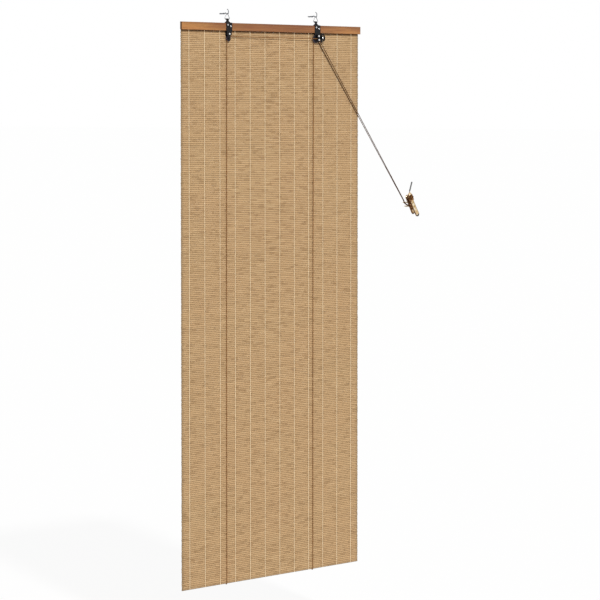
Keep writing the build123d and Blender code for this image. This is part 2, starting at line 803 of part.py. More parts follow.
lower_arch = horn_arch(horn_low)
upper_arch = horn_arch(horn_top)
horn_side = make_face(
    [
        lower_arch,
        Line(lower_arch @ 1, upper_arch @ 1),
        upper_arch,
        Line(upper_arch @ 0, lower_arch @ 0),
    ]
)
horns = extrude(Plane.XZ * horn_side, amount=cleat_width, both=True)
horns &= extrude(SlotOverall(cleat_length, cleat_width), amount=2 * horn_top)
horn_faces = horns.faces().sort_by(Axis.Z)
horns = fillet(horn_faces[0].edges() + horn_faces[-1].edges(), horn_rounding)
base = extrude(SlotOverall(cleat_base_length, cleat_width), amount=cleat_base)
base_top = base.faces().sort_by(Axis.Z)[-1]
base = chamfer(base_top.edges(), cleat_bevel)
neck_plan = RectangleRounded(cleat_neck_length, cleat_neck_width, cleat_neck_corner)
neck = extrude(Pos(0, 0, cleat_base) * neck_plan, amount=cleat_neck_height + horn_thickness / 2)
cleat = base + neck + horns
head_top = horn_top - cleat_screw_drop
sink_bottom = head_top - cleat_screw_sink
hole = Cylinder(cleat_shank_radius + rivet_fit, 3 * horn_top)
sink = Pos(0, 0, sink_bottom) * Cone(cleat_shank_radius, cleat_screw_head, cleat_screw_sink, align=low_align)
sink_mouth = Pos(0, 0, head_top) * Cylinder(cleat_screw_head, horn_thickness, align=low_align)
shank = Cylinder(cleat_shank_radius, sink_bottom, align=low_align)
thread = Pos(0, 0, -cleat_screw_length) * Cylinder(cleat_screw_radius, cleat_screw_length, align=low_align)
tip = Cone(screw_point, cleat_screw_radius, cleat_screw_tip, align=low_align)
screw = shank + sink + thread + Pos(0, 0, -cleat_screw_length - cleat_screw_tip) * tip
screws = []
for along in (-cleat_screw_spacing / 2, cleat_screw_spacing / 2):
    cleat -= Pos(along, 0, 0) * hole
    cleat -= Pos(along, 0, 0) * sink
    cleat -= Pos(along, 0, 0) * sink_mouth
    screws.append(Pos(along, 0, 0) * screw)
keep("cleat", cleat_frame * cleat)
keep("cleat_screws", cleat_frame * Compound(children=screws))

# Cord turns on the cleat: a band round the neck and a band round the upper arm
inner = Rectangle(cleat_neck_length + 2 * neck_turns_gap, cleat_neck_width + 2 * neck_turns_gap)
inner = fillet(inner.vertices(), cleat_neck_corner)
outer = offset(inner, amount=neck_turns_width)
turn_height = cleat_neck_height - 2 * neck_turns_clearance
neck_band = extrude(Pos(0, 0, cleat_base + neck_turns_clearance) * (outer - inner), amount=turn_height)
arm_low = horn_low - arm_turns_gap
arm_inner_height = horn_thickness + arm_turns_room + arm_turns_gap
arm_inner = Pos(0, arm_low + arm_inner_height / 2) * Rectangle(
    cleat_width + 2 * arm_turns_gap, arm_inner_height
)
arm_outer = offset(arm_inner, amount=arm_turns_thickness)
arm_start = half_neck + neck_turns_width + arm_turns_start
arm_end = arm_start + arm_turns_length
arm_band = extrude(Plane.YZ.offset(-arm_end) * (arm_outer - arm_inner), amount=arm_turns_length)
keep("cleat_cord_turns", cleat_frame * Compound(children=[neck_band, arm_band]))


# Pull cords: straight from the lock to the cleat, then two bends in to the turns on its neck
def pull_path(start, kinks, entry):
    """Path of one pull cord, which runs on a little past the face of the turns."""
    entry_depth = cleat_base + cleat_neck_height / 2
    corners = [(x, -depth, z) for (x, z), depth in zip(kinks, kink_depths)]
    face = Vector(entry[0], -entry_depth, entry[1])
    end = face + (face - Vector(*corners[1])).normalized() * pull_overrun
    return FilletPolyline(start, *corners, tuple(end), radius=list(kink_bends))


turns_on_neck = cleat_frame * neck_band
keep_cord("pull_cord_left", pull_path(left_exit, kinks_left, entry_left), turns_on_neck)
keep_cord("pull_cord_right", pull_path(right_exit, kinks_right, entry_right), turns_on_neck)

# Cord's end: it leaves the last turn under the horn and stands up in a stiff sleeve
tail_depth = -(arm_low - arm_turns_thickness / 2)
tail_start = on_cleat(-arm_end, tail_across)
tail_corner = on_cleat(-arm_end - tail_run, tail_across)
tail_rise_run = Vector(tail_rise[0], 0, tail_rise[1])
tail_way = tail_rise_run.normalized()
tail_bend_place = Vector(tail_corner[0], tail_depth, tail_corner[1])
tail_sleeve_start = tail_bend_place + tail_rise_run - tail_way * tail_sleeve_length
tail_route = [
    (tail_start[0], tail_depth, tail_start[1]),
    tuple(tail_bend_place),
    tuple(tail_sleeve_start + tail_way * tail_sleeve_radius),
]
tail = wire(FilletPolyline(*tail_route, radius=tail_bend), cord_radius)
tail_sleeve = Cylinder(tail_sleeve_radius, tail_sleeve_length, align=low_align)
tail_sleeve = Plane(origin=tail_sleeve_start, z_dir=tail_way) * tail_sleeve
tail += fillet(tail_sleeve.edges().filter_by(GeomType.CIRCLE), tail_sleeve_rounding)
keep("cord_tail", tail)

print("pull cord slope below level, degrees:", round(degrees(pull_turn), 2))
print("lift cord bends, mm:", bottom_bend, pulley_cord_radius, roller_cord_radius, wheel_bend)
print("bends at the cleat, mm:", *kink_bends, tail_bend)
for name, path in cord_paths.items():
    from_volume = nodes[name].volume / (pi * cord_radius**2)
    print(name, "length, mm:", round(path.length, 1), "from its volume:", round(from_volume, 1))
for name, shape in nodes.items():
    print(name, round(shape.volume, 1))
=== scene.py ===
import json
import math

import bmesh
import bpy
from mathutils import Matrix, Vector


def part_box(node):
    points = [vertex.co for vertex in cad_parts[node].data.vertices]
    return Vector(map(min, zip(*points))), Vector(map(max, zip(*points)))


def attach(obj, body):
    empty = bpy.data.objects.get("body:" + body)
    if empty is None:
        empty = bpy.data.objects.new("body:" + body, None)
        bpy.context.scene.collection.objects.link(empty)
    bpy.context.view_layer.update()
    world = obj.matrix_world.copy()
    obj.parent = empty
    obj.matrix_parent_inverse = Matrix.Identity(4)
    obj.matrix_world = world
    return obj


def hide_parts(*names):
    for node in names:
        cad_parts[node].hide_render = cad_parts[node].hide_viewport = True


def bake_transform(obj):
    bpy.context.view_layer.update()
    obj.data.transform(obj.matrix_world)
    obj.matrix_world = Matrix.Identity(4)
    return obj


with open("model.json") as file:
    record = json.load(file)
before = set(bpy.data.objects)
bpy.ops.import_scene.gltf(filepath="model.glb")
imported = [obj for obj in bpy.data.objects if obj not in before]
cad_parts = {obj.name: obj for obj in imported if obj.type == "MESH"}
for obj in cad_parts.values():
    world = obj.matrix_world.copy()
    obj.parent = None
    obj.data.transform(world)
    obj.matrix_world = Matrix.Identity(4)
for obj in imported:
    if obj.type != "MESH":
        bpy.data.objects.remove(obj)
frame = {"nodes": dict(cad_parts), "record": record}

bl_info = {
    "name": "Bamboo Blind",
    "version": (1, 0, 0),
    "blender": (4, 5, 0),
    "location": "3D View > Sidebar > Blind",
    "description": "Dresses a roll-up blind of split bamboo with its hooks, cord lock, cords and cleat",
    "category": "Add Mesh",
}

MM = 0.001
SIDES = {"left": -1, "right": 1}

# Routes of the cords in millimetres

FALL_BACK = -9.75
FALL_FRONT = -14.85
REAR_LAYER = -17.1
FRONT_LAYER = -22.45
LOOP_LOW = -1628.0

LIFT_ROUTES = {
    "left": [
        (-207.0, -6.0, -36.0), (-207.0, -6.2, -60.0), (-207.0, FALL_BACK, -110.0),
        (-207.0, FALL_BACK, -800.0), (-207.0, FALL_BACK, -1620.0),
        (-207.0, FALL_BACK, LOOP_LOW), (-207.0, FALL_FRONT, LOOP_LOW),
        (-207.0, FALL_FRONT, -1620.0), (-207.0, FALL_FRONT, -800.0), (-207.0, REAR_LAYER, -78.0),
        (-207.0, REAR_LAYER, -64.5), (-194.0, -17.3, -64.5), (0.0, -19.8, -64.8),
        (190.0, FRONT_LAYER, -65.0), (202.0, FRONT_LAYER, -65.0), (208.0, -22.3, -71.7),
    ],
    "right": [
        (185.0, -6.0, -36.0), (185.0, -6.2, -60.0), (185.0, FALL_BACK, -110.0), (185.0, FALL_BACK, -800.0),
        (185.0, FALL_BACK, -1620.0), (185.0, FALL_BACK, LOOP_LOW), (185.0, FALL_FRONT, LOOP_LOW),
        (185.0, FALL_FRONT, -1620.0), (185.0, FALL_FRONT, -800.0), (185.0, REAR_LAYER, -73.5),
        (185.0, REAR_LAYER, -59.5), (194.4, REAR_LAYER, -59.5), (208.3, -17.0, -75.2),
    ],
}
PULL_ROUTES = {
    "left": [(208.0, -22.3, -71.7), (629.2, -12.3, -548.3), (635.3, -10.9, -557.8), (668.8, -6.4, -565.6)],
    "right": [(208.3, -17.0, -75.2), (627.5, -12.3, -549.6), (634.0, -10.9, -559.7), (670.6, -6.4, -568.2)],
}

# The cleat: places on it are along its bars, across them and out from the wall, in millimetres

HOOK_SPACING = 400.0
CLEAT_TILT = math.radians(33.0)
HORN_MIDDLE = 12.2
HORN_RISE = 2.2
HORN_HALF_LENGTH = 42.5
SLEEVE_RISE = 9.4

CROSS_TURNS = [
    (-20.0, 3.0, 6.0), (-15.5, -5.0, 6.2), (-13.0, -9.8, 9.0), (-14.5, -9.2, 15.2), (-17.5, -4.5, 18.3),
    (-20.5, 2.5, 18.6), (-23.5, 9.0, 17.2), (-24.8, 11.2, 12.6), (-23.5, 8.0, 6.6), (-19.0, 6.0, 6.0),
    (-14.5, 9.8, 9.0), (-14.5, 9.4, 15.4), (-17.0, 4.0, 19.6), (-20.5, -3.0, 20.4), (-24.0, -9.2, 17.4),
    (-25.6, -11.2, 12.6), (-25.0, -8.0, 6.8), (-22.0, -2.0, 6.0),
]

# Bamboo joints along a splint, in millimetres

JOINT_SPACING = 450.0

# Turns of cord on the cleat in millimetres, and the points of one turn

TURN_POINTS = 16
NECK_HALF_LENGTH = 13.9
NECK_HALF_WIDTH = 5.5
NECK_LAYER = 2.2
NECK_FIRST_OUT = 4.7
NECK_RISE = 1.9
ARM_TURNS = 7
ARM_HALF_WIDTH = 9.1
ARM_HALF_DEPTH = 3.45
ARM_FIRST_ALONG = -18.9
ARM_STEP = 2.02
TO_SLEEVE = [(-32.6, 1.5, 9.8), (-33.0, 5.2, 9.0), (-34.0, 6.5, 8.7)]

# Painted shade on the lower ends of the cleat's horn and plate, from so many millimetres from its centre

HORN_SHADE_FROM = 35.4
PLATE_SHADE_FROM = 28.2

# Warp stitches in millimetres, and their overlap as a share of the pitch

STITCH_BULGE = 0.16
STITCH_TUCK = 0.12
STITCH_LEAN = 0.28
STITCH_OVERLAP = 1.04

# Screws in millimetres and degrees; a thread is its core's radius, its pitch and its turns

THREAD_RIDGE = 0.3
HOOK_THREAD = (1.6, 1.5, 8)
HOOK_THREAD_START = 2.0
CLEAT_THREAD = (1.75, 1.6, 12)
CLEAT_THREAD_START = -1.5
CLEAT_SCREW_OFFSET = 7.0
HEAD_RADIUS = 2.5
HEAD_DEPTH = 1.5
HEAD_ROUNDING = 0.9
SHANK_RADIUS = 1.4
RECESS = (2.9, 1.5, 0.6)
RECESS_TURN = 20.0

# Pull cords in millimetres, and the steps of their curves between two points

BEND_PAST_MAT = 5.0
STILL_AT_CLEAT = 8.0
PULL_CORD_STEPS = 30

# Light: an even sky and two soft suns, in front above the left side and behind

WORLD_LEVEL = 0.36
FLOOR_WHITE = 0.90
SUNS = (
    ((-2.2, -3.6, 2.8), 2.4, 4.0),
    ((1.5, 3.5, 2.5), 1.1, 12.0),
)

# Floor and camera, in metres, degrees and millimetres of lens, as fitted to the photograph

FLOOR_SIZE = 400
FLOOR_LEVEL = -1.80
CAMERA_PLACE = (-7.402, -6.1285, -0.2696)
CAMERA_TURN = (86.703, 0, -50.914)
CAMERA_LENS = 199.2
SENSOR_WIDTH = 36.0


def linear(hex_value):
    """Linear RGBA of an sRGB hex colour."""
    channels = []
    for k in (1, 3, 5):
        share = int(hex_value[k:k + 2], 16) / 255
        channels.append(share / 12.92 if share <= 0.04045 else ((share + 0.055) / 1.055) ** 2.4)
    return (*channels, 1.0)


# Sizes and colours that a user would change

class BlindSizes(bpy.types.PropertyGroup):
    """Sizes of the dressed pieces; places come from the frame."""

    reed_pitch: bpy.props.FloatProperty(
        name="Reed pitch", description="From one splint to the next", default=5.38 * MM, unit="LENGTH")
    reed_gap: bpy.props.FloatProperty(
        name="Reed gap", description="Light gap between two splints", default=0.02 * MM, unit="LENGTH")
    reed_rounding: bpy.props.FloatProperty(
        name="Reed rounding", description="Softened long edges of a splint", default=0.85 * MM, unit="LENGTH")
    reed_wave: bpy.props.FloatProperty(
        name="Reed wave", description="How far a splint strays from straight", default=0.12 * MM,
        unit="LENGTH")
    thread_width: bpy.props.FloatProperty(
        name="Thread width", description="Width of one warp stitch", default=1.8 * MM, unit="LENGTH")
    thread_thickness: bpy.props.FloatProperty(
        name="Thread thickness", description="How far a stitch stands off the splints", default=0.8 * MM,
        unit="LENGTH")
    thread_count: bpy.props.IntProperty(
        name="Threads", description="Warp threads across the mat", default=12, min=2)
    cord_radius: bpy.props.FloatProperty(
        name="Cord radius", description="Half the cord's diameter", default=1.0 * MM, unit="LENGTH")


class BlindColours(bpy.types.PropertyGroup):
    """Colours of the finishes."""

    reed: bpy.props.FloatVectorProperty(
        name="Splints", description="Split bamboo", size=4, subtype="COLOR", default=linear("#C1A076"))
    rail: bpy.props.FloatVectorProperty(
        name="Rail", description="Stained wood of the head rail", size=4, subtype="COLOR",
        default=linear("#AC7644"))
    warp: bpy.props.FloatVectorProperty(
        name="Warp", description="Cotton warp threads", size=4, subtype="COLOR", default=linear("#F3DBB4"))
    lift_cord: bpy.props.FloatVectorProperty(
        name="Lift cord", description="Cord on the mat", size=4, subtype="COLOR", default=linear("#845A32"))
    pull_cord: bpy.props.FloatVectorProperty(
        name="Pull cord", description="Cord from the lock to the cleat", size=4, subtype="COLOR",
        default=linear("#4A2C12"))
    sleeve: bpy.props.FloatVectorProperty(
        name="End sleeve", description="Shrunk sleeve on the cord's end", size=4, subtype="COLOR",
        default=linear("#565655"))


# Node and material helpers

def fill(tree, node, inputs):
    """Sets sockets of a node to values, or links them to other nodes' outputs."""
    for socket, value in inputs.items():
        if isinstance(value, bpy.types.NodeSocket):
            tree.links.new(value, node.inputs[socket])
        else:
            node.inputs[socket].default_value = value


def add_node(tree, kind, inputs=(), **settings):
    """Adds a node and returns its outputs; inputs come in the sockets' order or by their names."""
    node = tree.nodes.new("ShaderNode" + kind)
    for name, value in settings.items():
        setattr(node, name, value)
    fill(tree, node, inputs if isinstance(inputs, dict) else dict(enumerate(inputs)))
    return node.outputs


def new_material(name):
    """An empty finish; returns it with its tree and its shader."""
    material = bpy.data.materials.new(name)
    material.use_nodes = True
    tree = material.node_tree
    return material, tree, tree.nodes["Principled BSDF"]


def stretched(tree, per_metre, offset=(0, 0, 0)):
    """Object coordinates in which one unit is one feature of a pattern."""
    place = add_node(tree, "TexCoord")["Object"]
    return add_node(tree, "Mapping", {"Vector": place, "Scale": per_metre, "Location": offset})[0]


def patches(tree, per_metre, detail=2.0, offset=(0, 0, 0)):
    """Soft patches, so many per metre along each axis."""
    place = stretched(tree, per_metre, offset)
    return add_node(tree, "TexNoise", {"Vector": place, "Scale": 1.0, "Detail": detail})["Fac"]


def tinted(tree, tone, colour, pattern, low=0.0, high=1.0, start=0.0, end=1.0):
    """The tone turned towards a colour: by start where the pattern is low, and by end where it is high."""
    share = add_node(tree, "MapRange", (pattern, low, high, start, end))[0]
    return add_node(tree, "Mix", {0: share, 6: tone, 7: colour}, data_type="RGBA")[2]


def from_middle(tree, cells):
    """Distance from the middle of a place's own cell, where each cell is one unit long."""
    share = add_node(tree, "Math", (cells,), operation="FRACT")[0]
    offset = add_node(tree, "Math", (share, 0.5), operation="SUBTRACT")[0]
    return add_node(tree, "Math", (offset,), operation="ABSOLUTE")[0]


def scaled(colour, share):
    """A colour made darker or lighter."""
    return (*(channel * share for channel in colour[:3]), 1.0)


# Finishes

def split_bamboo(colour, pitch, top, half_width, spacing):
    """Bamboo splints, planed and raw: matt, each in a tone of its own, with brown dashes and painted shade in
    the seams.
    """
    material, tree, shader = new_material("split_bamboo")
    x, _, z = add_node(tree, "SeparateXYZ", (add_node(tree, "TexCoord")["Object"],))
    depth = add_node(tree, "Math", (top, z), operation="SUBTRACT")[0]
    rows = add_node(tree, "Math", (depth, pitch), operation="DIVIDE")[0]
    row = add_node(tree, "Math", (rows,), operation="FLOOR")[0]
    own = add_node(tree, "TexWhiteNoise", {"W": row}, noise_dimensions="1D")["Value"]

    def dashes(per_metre):
        """Dashes along each splint, at places of its own."""
        start = add_node(tree, "Math", (own, 500.0), operation="MULTIPLY")[0]
        run = add_node(tree, "Math", (x, per_metre, start), operation="MULTIPLY_ADD")[0]
        return add_node(
            tree, "TexNoise", {"W": run, "Scale": 1.0, "Detail": 0.5}, noise_dimensions="1D")["Fac"]

    tone = tinted(tree, scaled(colour, 0.95), scaled(colour, 1.05), own)
    # Brown lengths of 60 to 100 mm, dark dashes of 20 to 40 mm and pale ones between them
    tone = tinted(tree, tone, linear("#8C6840"), dashes(9.0), 0.42, 0.70, 0.0, 0.14)
    tone = tinted(tree, tone, linear("#7A5A36"), dashes(21.0), 0.62, 0.68, 0.0, 0.28)
    tone = tinted(tree, tone, linear("#DDBE92"), dashes(18.0), 0.40, 0.30, 0.0, 0.20)
    warm = patches(tree, (4.0, 4.0, 6.0), 2.0, (3, 1, 7))
    tone = tinted(tree, tone, linear("#C2926C"), warm, 0.35, 0.65, 0.0, 0.10)
    # Bamboo joints: a thin brown tick at its own place on each splint
    first_joint = add_node(tree, "Math", (own, 37.0), operation="MULTIPLY")[0]
    lengths = add_node(
        tree, "Math", (x, 1 / (JOINT_SPACING * MM), first_joint), operation="MULTIPLY_ADD")[0]
    joint = add_node(tree, "MapRange", (from_middle(tree, lengths), 0.001, 0.006, 0.4, 0.0))[0]
    tone = tinted(tree, tone, linear("#7A5A38"), joint)
    # Painted shade in the seams, where the splints meet; the mat is also darker towards its sawn ends
    tone = tinted(tree, tone, linear("#54391D"), from_middle(tree, rows), 0.24, 0.44, 0.0, 0.44)
    # Painted shadow of the rail, for 7 mm below it
    rail_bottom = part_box("head_rail")[0].z
    tone = tinted(tree, tone, linear("#4A2A0A"), z, rail_bottom - 7.0 * MM, rail_bottom - 2.5 * MM, 0.0, 0.88)
    across = add_node(tree, "Math", (x,), operation="ABSOLUTE")[0]
    tone = tinted(tree, tone, linear("#77674F"), across, half_width - 11 * MM, half_width - 1 * MM, 0.0, 0.5)
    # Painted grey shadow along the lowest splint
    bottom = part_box("reed_mat")[0].z
    tone = tinted(tree, tone, linear("#66594A"), z, bottom + 0.5 * MM, bottom + 5.0 * MM, 0.6, 0.0)
    # Painted shade beside each warp thread, out to 6 mm from it
    lanes = add_node(tree, "Math", (x, 1 / spacing, half_width / spacing), operation="MULTIPLY_ADD")[0]
    near_thread = from_middle(tree, lanes)
    tone = tinted(
        tree, tone, linear("#6E5030"), near_thread, 2.0 * MM / spacing, 6.0 * MM / spacing, 0.22, 0.0)
    # Fibres half a millimetre apart
    fibre = patches(tree, (25.0, 2000.0, 2000.0), 1.0)
    tone = tinted(tree, tone, linear("#7D5F3C"), fibre, 0.35, 0.65, 0.0, 0.10)
    height = add_node(tree, "Math", (fibre, joint), operation="ADD")[0]
    relief = add_node(tree, "Bump", {"Height": height, "Distance": 0.08 * MM, "Strength": 0.5})[0]
    fill(tree, shader, {
        "Base Color": tone, "Roughness": 0.75, "Specular IOR Level": 0.2, "Normal": relief})
    return material


def cotton_warp(colour):
    """Unbleached cotton yarn, twisted: fully matt, with a slanting ply 0.8 mm apart."""
    material, tree, shader = new_material("cotton_warp")
    slant = stretched(tree, (1, 1, 1.4))
    ply = add_node(
        tree, "TexWave", {"Vector": slant, "Scale": 400.0, "Distortion": 0.6},
        bands_direction="DIAGONAL")["Fac"]
    tone = tinted(tree, colour, scaled(colour, 0.72), ply, 0.1, 0.6, 0.30, 0.0)
    relief = add_node(tree, "Bump", {"Height": ply, "Distance": 0.15 * MM})[0]
    fill(tree, shader, {"Base Color": tone, "Roughness": 0.95, "Sheen Weight": 0.2, "Normal": relief})
    return material


def stained_wood(colour):
    """Softwood batten, brown stain under a thin matt lacquer: long grain, reddish lengths and dark edges."""
    material, tree, shader = new_material("stained_wood")
    grain = patches(tree, (6.0, 300.0, 300.0), 4.0)
    tone = tinted(tree, scaled(colour, 0.62), scaled(colour, 1.22), grain, 0.30, 0.70)
    # Lengths of 100 to 200 mm that took the stain redder or greener
    red = patches(tree, (5.5, 25.0, 60.0), 1.5, (5, 2, 1))
    tone = tinted(tree, tone, linear("#864C31"), red, 0.42, 0.58, 0.0, 0.65)
    green = patches(tree, (4.0, 25.0, 90.0), 1.5, (1, 8, 3))
    tone = tinted(tree, tone, linear("#96713C"), green, 0.50, 0.68, 0.0, 0.45)
    # Darker and redder for 300 mm about the middle, fading over 150 mm more, and paler on the left
    x, _, z = add_node(tree, "SeparateXYZ", (add_node(tree, "TexCoord")["Object"],))
    offset = add_node(tree, "Math", (x, 40 * MM), operation="SUBTRACT")[0]
    off_middle = add_node(tree, "Math", (offset,), operation="ABSOLUTE")[0]
    tone = tinted(tree, tone, linear("#7A452B"), off_middle, 150 * MM, 300 * MM, 0.55, 0.0)
    tone = tinted(tree, tone, linear("#C4894C"), x, -400 * MM, -230 * MM, 0.55, 0.0)
    pore = patches(tree, (40.0, 1500.0, 1500.0), 2.0)
    tone = tinted(tree, tone, linear("#5A361C"), pore, 0.56, 0.70, 0.0, 0.50)
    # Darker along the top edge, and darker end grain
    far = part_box("head_rail")[1]
    tone = tinted(tree, tone, linear("#6A4324"), z, far.z - 12.0 * MM, far.z - 1.0 * MM, 0.0, 0.45)
    across = add_node(tree, "Math", (x,), operation="ABSOLUTE")[0]
    tone = tinted(tree, tone, linear("#3F2815"), across, far.x - 1.2 * MM, far.x - 0.1 * MM, 0.0, 0.8)
    fill(tree, shader, {
        "Base Color": tone,
        "Roughness": add_node(tree, "MapRange", (grain, 0.3, 0.7, 0.55, 0.42))[0],
        "Specular IOR Level": 0.3,
        "Normal": add_node(tree, "Bump", {"Height": pore, "Distance": 0.1 * MM, "Strength": 0.5})[0],
    })
    return material


def braided_cord(name, colour, painted_light=0.0):
    """Polyester braid: matt, with crossing strands 1.4 mm apart; the last argument adds painted highlights
    and painted shade as pale and dark patches.
    """
    material, tree, shader = new_material(name)
    strands = []
    for way in ((1, 1, 1), (-1, -1, 1)):
        place = stretched(tree, way)
        strands.append(add_node(
            tree, "TexWave", {"Vector": place, "Scale": 260.0}, bands_direction="DIAGONAL")["Fac"])
    weave = add_node(tree, "Math", strands, operation="MAXIMUM")[0]
    tone = tinted(tree, scaled(colour, 0.55), scaled(colour, 1.15), weave)
    # Painted highlights and painted shade: pale and dark patches on the cord
    if painted_light:
        patch = patches(tree, (150.0, 150.0, 150.0), 2.0)
        tone = tinted(tree, tone, linear("#2E1604"), patch, 0.50, 0.40, 0.0, painted_light)
        tone = tinted(tree, tone, linear("#CF9468"), patch, 0.55, 0.65, 0.0, painted_light)
    relief = add_node(tree, "Bump", {"Height": weave, "Distance": 0.2 * MM})[0]
    fill(tree, shader, {
        "Base Color": tone, "Roughness": 0.85, "Specular IOR Level": 0.1, "Normal": relief})
    return material


def plated_wire(name, colour, roughness):
    """Zinc-plated steel: a grey, slightly cloudy mirror with fine drawing marks."""
    material, tree, shader = new_material(name)
    cloud = patches(tree, (160.0, 160.0, 160.0), 3.0)
    marks = patches(tree, (1500.0, 1500.0, 1500.0), 2.0)
    fill(tree, shader, {
        "Base Color": tinted(tree, scaled(colour, 0.78), colour, cloud, 0.35, 0.65),
        "Metallic": 1.0,
        "Roughness": add_node(tree, "MapRange", (cloud, 0.3, 0.7, roughness + 0.12, roughness - 0.05))[0],
        "Normal": add_node(tree, "Bump", {"Height": marks, "Distance": 0.05 * MM, "Strength": 0.25})[0],
    })
    return material


def black_enamel():
    """Stove-enamelled sheet steel: near black, half gloss, with a faint orange-peel skin."""
    material, tree, shader = new_material("black_enamel")
    cloud = patches(tree, (260.0, 260.0, 260.0), 3.0)
    skin = patches(tree, (900.0, 900.0, 900.0), 1.0)
    fill(tree, shader, {
        "Base Color": tinted(tree, linear("#070606"), linear("#161316"), cloud, 0.3, 0.7),
        "Roughness": add_node(tree, "MapRange", (cloud, 0.3, 0.7, 0.30, 0.48))[0],
        "Specular IOR Level": 0.15,
        "Normal": add_node(tree, "Bump", {"Height": skin, "Distance": 0.06 * MM, "Strength": 0.3})[0],
    })
    return material


def moulded_nylon():
    """Moulded nylon wheels: dark violet grey, dull, with a fine grain."""
    material, tree, shader = new_material("moulded_nylon")
    grain = patches(tree, (1200.0, 1200.0, 1200.0), 2.0)
    fill(tree, shader, {
        "Base Color": tinted(tree, linear("#1C181F"), linear("#352E3B"), grain, 0.3, 0.7),
        "Roughness": 0.5,
        "Specular IOR Level": 0.3,
        "Normal": add_node(tree, "Bump", {"Height": grain, "Distance": 0.05 * MM, "Strength": 0.3})[0],
    })
    return material


def shrunk_sleeve(colour, cord_colour, seam_z):
    """Shrunk plastic sleeve, smooth and slightly waxy, over the brown cord that shows under it."""
    material, tree, shader = new_material("shrunk_sleeve")
    _, _, z = add_node(tree, "SeparateXYZ", (add_node(tree, "TexCoord")["Object"],))
    ripple = patches(tree, (500.0, 500.0, 180.0), 2.0)
    tone = tinted(tree, scaled(colour, 0.82), scaled(colour, 1.1), ripple, 0.3, 0.7)
    fill(tree, shader, {
        "Base Color": tinted(tree, cord_colour, tone, z, seam_z - 0.2 * MM, seam_z),
        "Roughness": 0.45,
        "Specular IOR Level": 0.35,
        "Normal": add_node(tree, "Bump", {"Height": ripple, "Distance": 0.12 * MM, "Strength": 0.5})[0],
    })
    return material


def polished_brass(centre, way):
    """Cast brass, polished and lacquered: pale warm faces, with brown painted shade on the flanks, long edges
    and hollows, and dark painted shade on the lower ends.
    """
    material, tree, shader = new_material("polished_brass")
    cloud = patches(tree, (70.0, 70.0, 70.0), 3.0)
    tone = tinted(tree, linear("#F6E9CC"), linear("#D9B884"), cloud, 0.36, 0.56)
    coordinates = add_node(tree, "TexCoord")
    # Painted shade on the flanks, where the normal turns away from the front
    _, facing, _ = add_node(tree, "SeparateXYZ", (coordinates["Normal"],))
    tone = tinted(tree, tone, linear("#8A6234"), facing, -0.75, -0.20, 0.0, 0.85)
    stain = patches(tree, (130.0, 130.0, 130.0), 3.0, (2, 5, 1))
    tone = tinted(tree, tone, linear("#84592F"), stain, 0.56, 0.66, 0.0, 0.6)
    # Painted shade along the long edges, from 4.4 mm off the middle line
    place = add_node(tree, "VectorMath", (coordinates["Object"], centre), operation="SUBTRACT")[0]
    side = add_node(tree, "VectorMath", (place, (-way.z, 0, way.x)), operation="DOT_PRODUCT")["Value"]
    off_middle = add_node(tree, "Math", (side,), operation="ABSOLUTE")[0]
    tone = tinted(tree, tone, linear("#6A4218"), off_middle, 4.4 * MM, 7.0 * MM, 0.0, 0.90)
    # The plate at the wall ends before the horns in front of it
    along = add_node(tree, "VectorMath", (place, way), operation="DOT_PRODUCT")["Value"]
    _, depth, _ = add_node(tree, "SeparateXYZ", (place,))
    end = add_node(tree, "MapRange", (depth, -6.0 * MM, -4.0 * MM, HORN_SHADE_FROM * MM, PLATE_SHADE_FROM * MM))[0]
    # Painted shade on the lower ends, past the end of the horn or of the plate
    past_end = add_node(tree, "Math", (along, end), operation="SUBTRACT")[0]
    tone = tinted(tree, tone, linear("#21150A"), past_end, 0.0, 1.6 * MM, 0.0, 0.95)
    # Painted shade in the hollows, from ambient occlusion
    hollow = add_node(tree, "AmbientOcclusion", {"Distance": 5.0 * MM})["AO"]
    tone = tinted(tree, tone, linear("#5B3A1B"), hollow, 0.35, 0.85, 0.85, 0.0)
    scratch = patches(tree, (250.0, 2600.0, 250.0), 2.0)
    fill(tree, shader, {
        "Base Color": tone,
        "Metallic": 1.0,
        "Roughness": add_node(tree, "MapRange", (scratch, 0.3, 0.75, 0.20, 0.40))[0],
        "Coat Weight": 0.3,
        "Normal": add_node(tree, "Bump", {"Height": scratch, "Distance": 0.03 * MM, "Strength": 0.4})[0],
    })
    return material


# Mesh helpers

def clear_selection():
    """Leaves edit mode and selects nothing."""
    if bpy.context.object and bpy.context.object.mode != "OBJECT":
        bpy.ops.object.mode_set(mode="OBJECT")
    bpy.ops.object.select_all(action="DESELECT")


def start(name, add, **values):
    """Adds a primitive with nothing else selected and names it."""
    clear_selection()
    add(**values)
    piece = bpy.context.active_object
    piece.name = name
    piece.data.name = name
    return piece


def settle():
    """Puts the active piece's place, turn and size into its mesh."""
    bpy.ops.object.transform_apply(location=True, rotation=True, scale=True)


def choose(piece, kind, test):
    """In edit mode, selects the edges, faces or verts that a test on the element accepts."""
    bpy.ops.object.mode_set(mode="EDIT")
    modes = {"verts": "VERT", "edges": "EDGE", "faces": "FACE"}
    bpy.ops.mesh.select_mode(type=modes[kind])
    bpy.ops.mesh.select_all(action="DESELECT")
    mesh = bmesh.from_edit_mesh(piece.data)
    for element in getattr(mesh, kind):
        if test(element):
            element.select_set(True)
    mesh.select_flush_mode()
    bmesh.update_edit_mesh(piece.data)


def object_mode():
    """Leaves edit mode."""
    bpy.ops.object.mode_set(mode="OBJECT")


def edge_runs(axis):
    """Test for edges that run along one axis."""
    def along(edge):
        """True where the edge runs along the axis."""
        run = edge.verts[1].co - edge.verts[0].co
        return abs(run[axis]) > 0.99 * run.length
    return along


